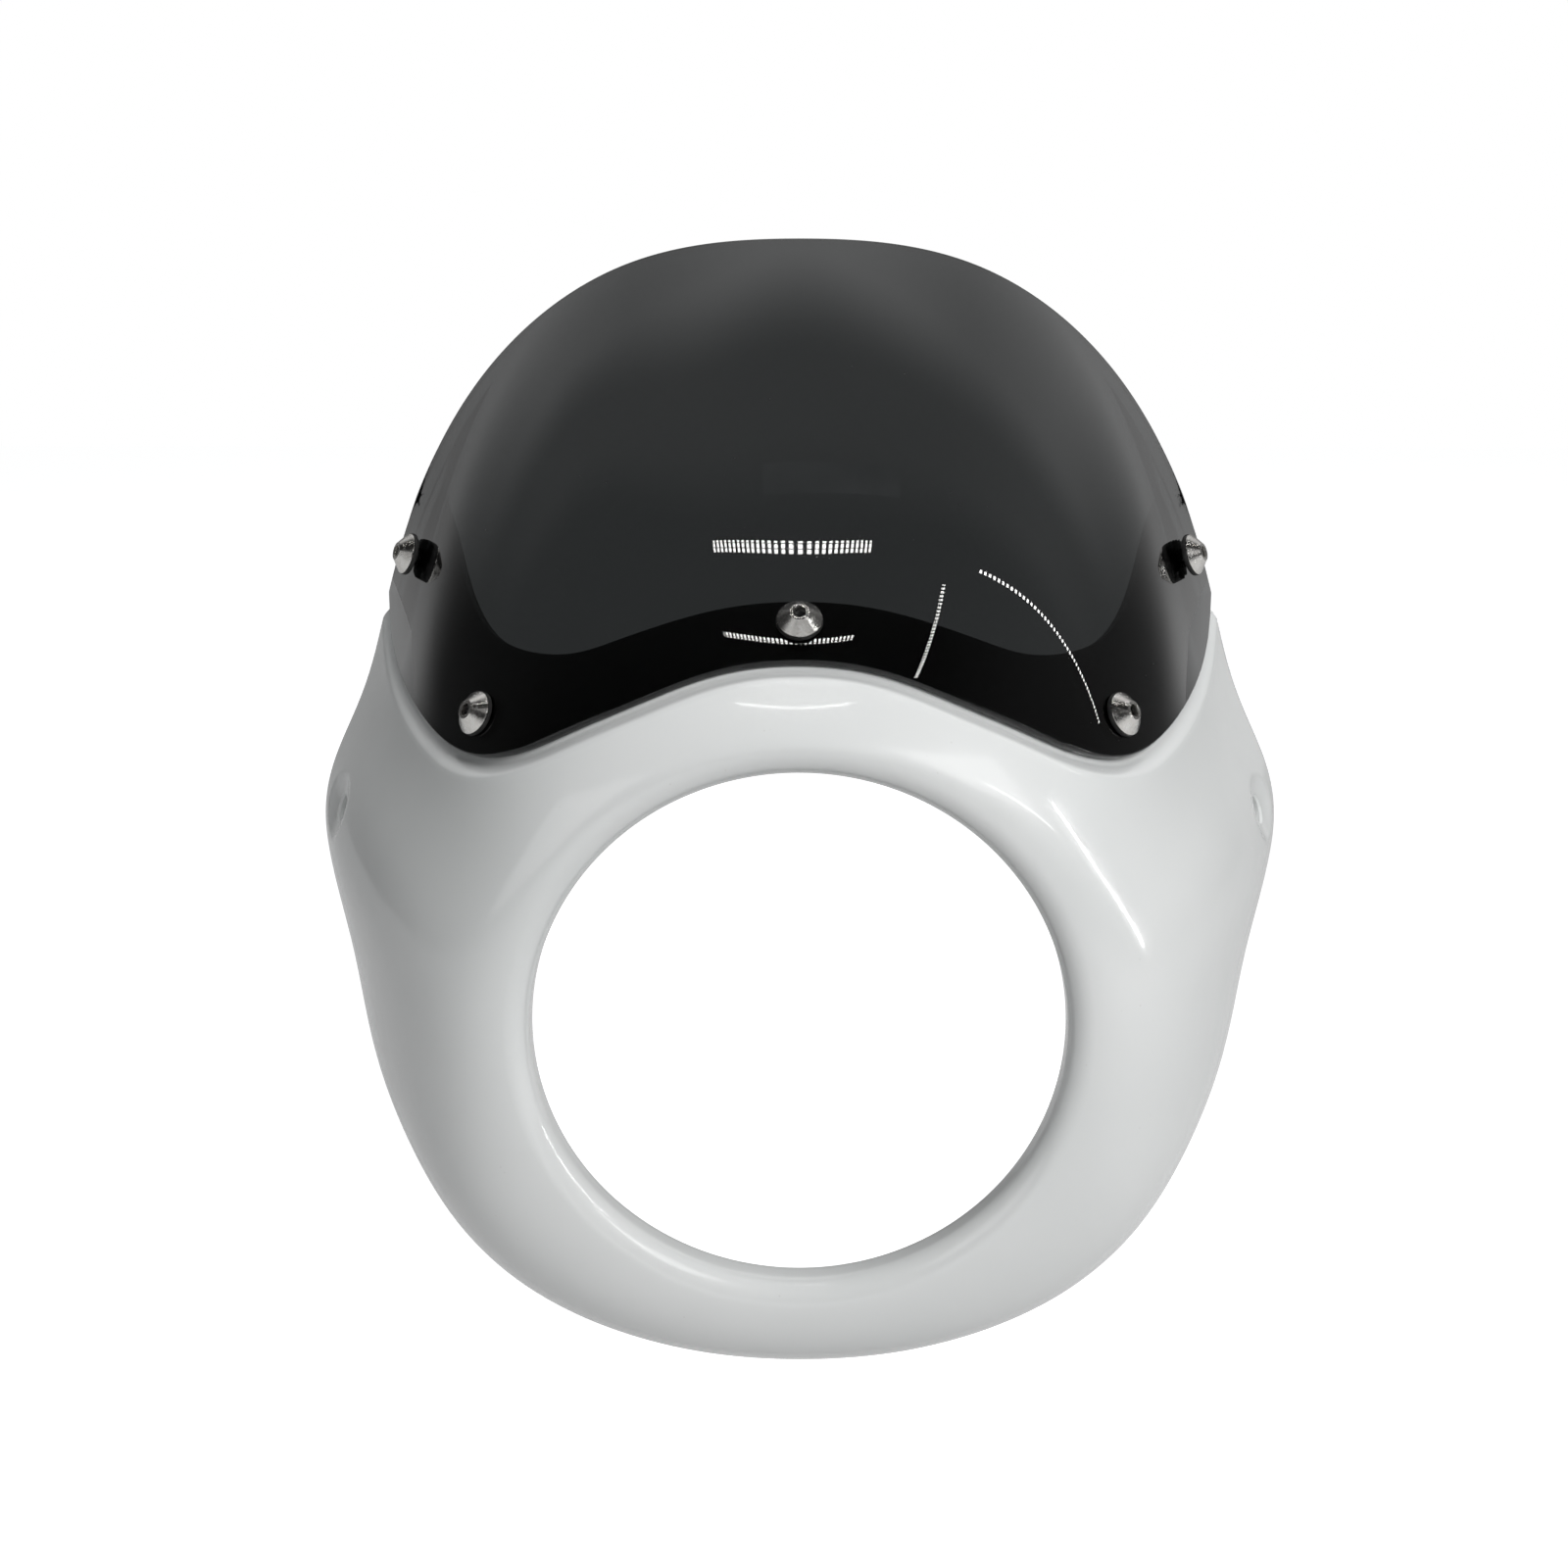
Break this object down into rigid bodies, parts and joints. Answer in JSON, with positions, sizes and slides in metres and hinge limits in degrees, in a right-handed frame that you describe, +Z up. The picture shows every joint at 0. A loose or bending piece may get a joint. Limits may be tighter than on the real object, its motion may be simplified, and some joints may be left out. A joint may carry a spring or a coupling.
{
  "type": "headlight cowl",
  "caption": "Moulded cowl that fits round a motorbike's round headlight and carries a smoked windscreen on screws.",
  "frame": {"origin": "on the lamp axis, inside the bore that holds the lamp, 8 mm behind the front face of the lip", "axes": "+Y along the lamp axis, from the lip towards the rider; +Z up; +X to the right as seen from the front"},
  "size_m": [0.2978, 0.1494, 0.3191],
  "materials": {
    "white_shell": "white gloss moulded plastic",
    "smoked_screen": "dark smoked clear plastic sheet, polished",
    "stainless_screw": "turned stainless steel",
    "black_rubber": "black rubber",
    "zinc_steel": "bright zinc plated steel"
  },
  "bodies": {
    "root": {"cowl_shell": "white_shell", "windscreen": "smoked_screen", "screw_centre": "stainless_screw", "screw_lower_left": "stainless_screw", "screw_lower_right": "stainless_screw", "screw_side_left": "stainless_screw", "screw_side_right": "stainless_screw", "rubber_washer_centre": "black_rubber", "rubber_washer_lower_left": "black_rubber", "rubber_washer_lower_right": "black_rubber", "rubber_washer_side_left": "black_rubber", "rubber_washer_side_right": "black_rubber", "plain_washer_centre": "zinc_steel", "plain_washer_lower_left": "zinc_steel", "plain_washer_lower_right": "zinc_steel", "plain_washer_side_left": "zinc_steel", "plain_washer_side_right": "zinc_steel", "nut_centre": "zinc_steel", "nut_lower_left": "zinc_steel", "nut_lower_right": "zinc_steel", "nut_side_left": "zinc_steel", "nut_side_right": "zinc_steel"}
  },
  "joints": []
}
